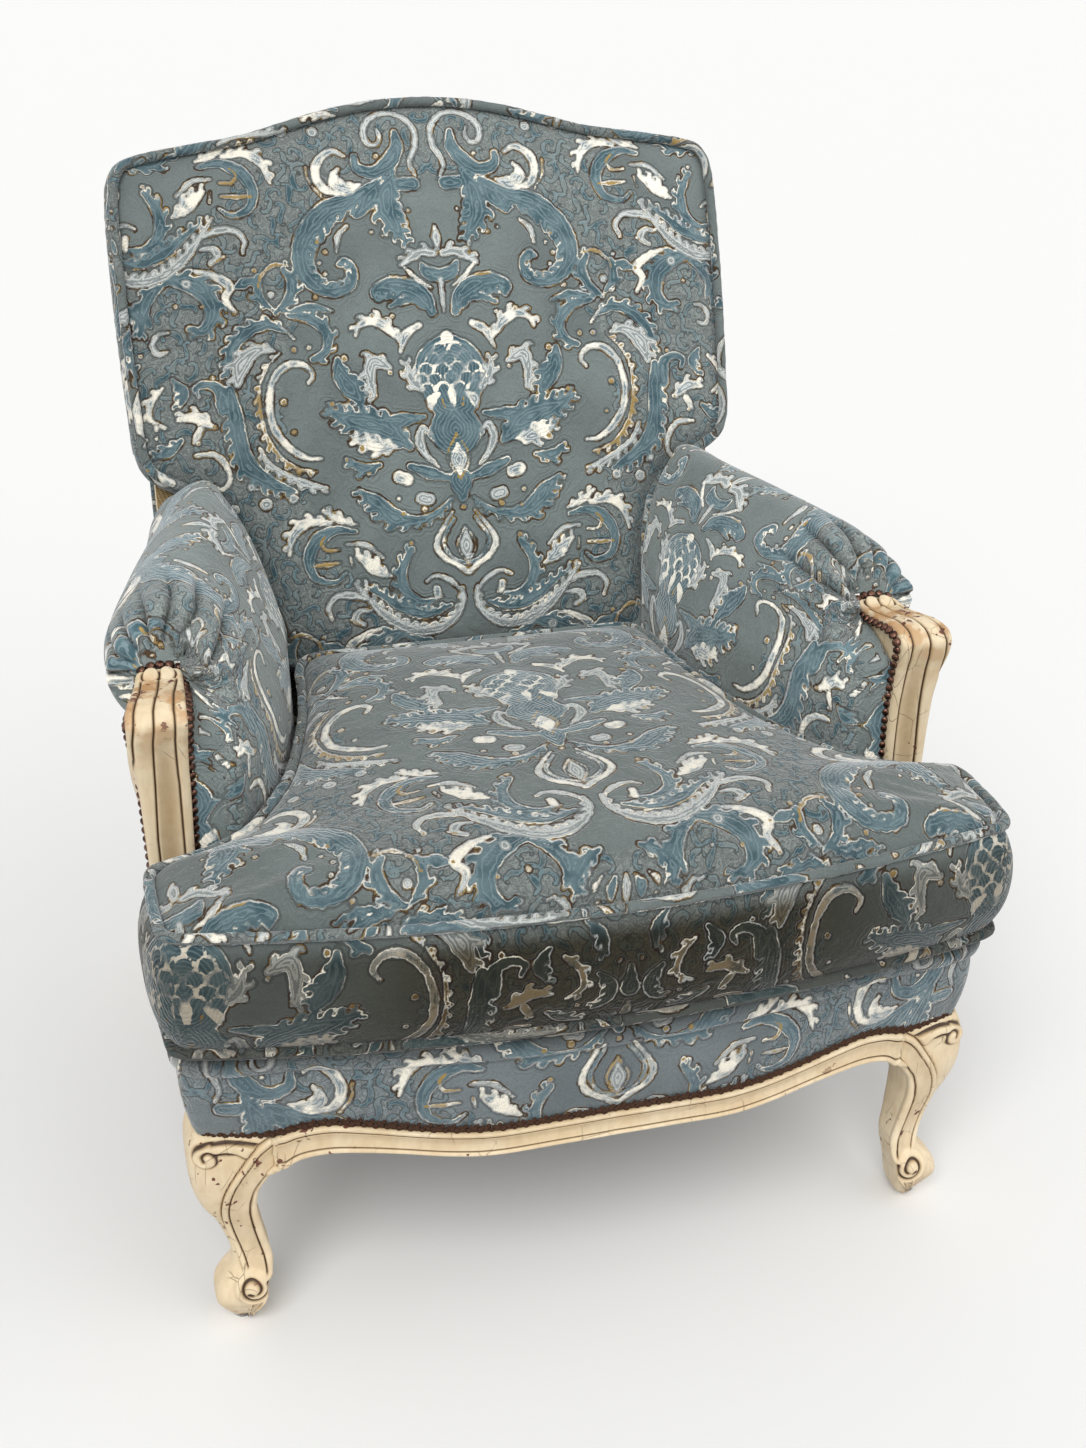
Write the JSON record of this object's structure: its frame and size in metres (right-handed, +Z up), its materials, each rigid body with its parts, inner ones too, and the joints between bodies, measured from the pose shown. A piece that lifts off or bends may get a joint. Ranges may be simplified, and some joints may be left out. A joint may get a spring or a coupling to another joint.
{
  "type": "bergere chair",
  "caption": "Upholstered armchair with show-wood posts, moulded apron, cabriole legs, eared reclined back and a loose T-shaped seat cushion that lifts off.",
  "frame": {"origin": "on the floor under the middle of the chair's box", "axes": "+Z up, the front of the chair faces -Y, +X to the right seen from the front"},
  "size_m": [0.8138, 0.9106, 0.9884],
  "materials": {
    "paint": "antique cream paint, glazed brown in the grooves, worn at the edges",
    "bare_wood": "sawn beech, unfinished",
    "velvet": "cut velvet damask, slate blue with steel blue and silver scrolls",
    "piping": "the same velvet cut as piping",
    "jute": "woven jute webbing and hessian",
    "hair": "stuffed hair and wadding",
    "foam": "cushion filling",
    "black_cloth": "black cambric and zip tape",
    "steel": "plain steel wire and glides",
    "nail": "antiqued copper brown nail heads"
  },
  "bodies": {
    "frame": {"front_rail": "paint", "front_leg_right": "paint", "front_leg_left": "paint", "side_rail_right": "paint", "side_rail_left": "paint", "rear_rail": "bare_wood", "rear_leg_right": "paint", "rear_leg_left": "paint", "front_corner_block_right": "bare_wood", "front_corner_block_left": "bare_wood", "rear_corner_block_right": "bare_wood", "rear_corner_block_left": "bare_wood", "front_glide_right": "steel", "front_glide_left": "steel", "rear_glide_right": "steel", "rear_glide_left": "steel", "seat_webbing": "jute", "seat_spring_1": "steel", "seat_spring_2": "steel", "seat_spring_3": "steel", "seat_spring_4": "steel", "seat_spring_5": "steel", "seat_spring_6": "steel", "seat_spring_7": "steel", "seat_spring_8": "steel", "seat_spring_9": "steel", "hessian": "jute", "seat_pad": "hair", "border_cover": "velvet", "front_nail_trim": "nail", "dust_cover": "black_cloth", "crest_rail": "bare_wood", "lower_back_rail": "bare_wood", "back_webbing": "jute", "back_pad": "velvet", "back_welt": "piping", "back_edge_band": "velvet", "outer_back_panel": "velvet", "arm_post_right": "paint", "arm_post_left": "paint", "arm_rail_right": "bare_wood", "arm_rail_left": "bare_wood", "arm_pad_right": "velvet", "arm_pad_left": "velvet", "outer_arm_panel_right": "velvet", "outer_arm_panel_left": "velvet", "arm_nail_trim_right": "nail", "arm_nail_trim_left": "nail"},
    "seat_cushion": {"cushion_cover": "velvet", "cushion_core": "foam", "cushion_zip": "black_cloth", "cushion_welt_top": "piping", "cushion_welt_bottom": "piping"}
  },
  "joints": [
    {"name": "seat_cushion_lift", "type": "slide", "parent": "frame", "child": "seat_cushion", "axis": [0, 0, 1], "range_m": [0, 0.4]}
  ]
}
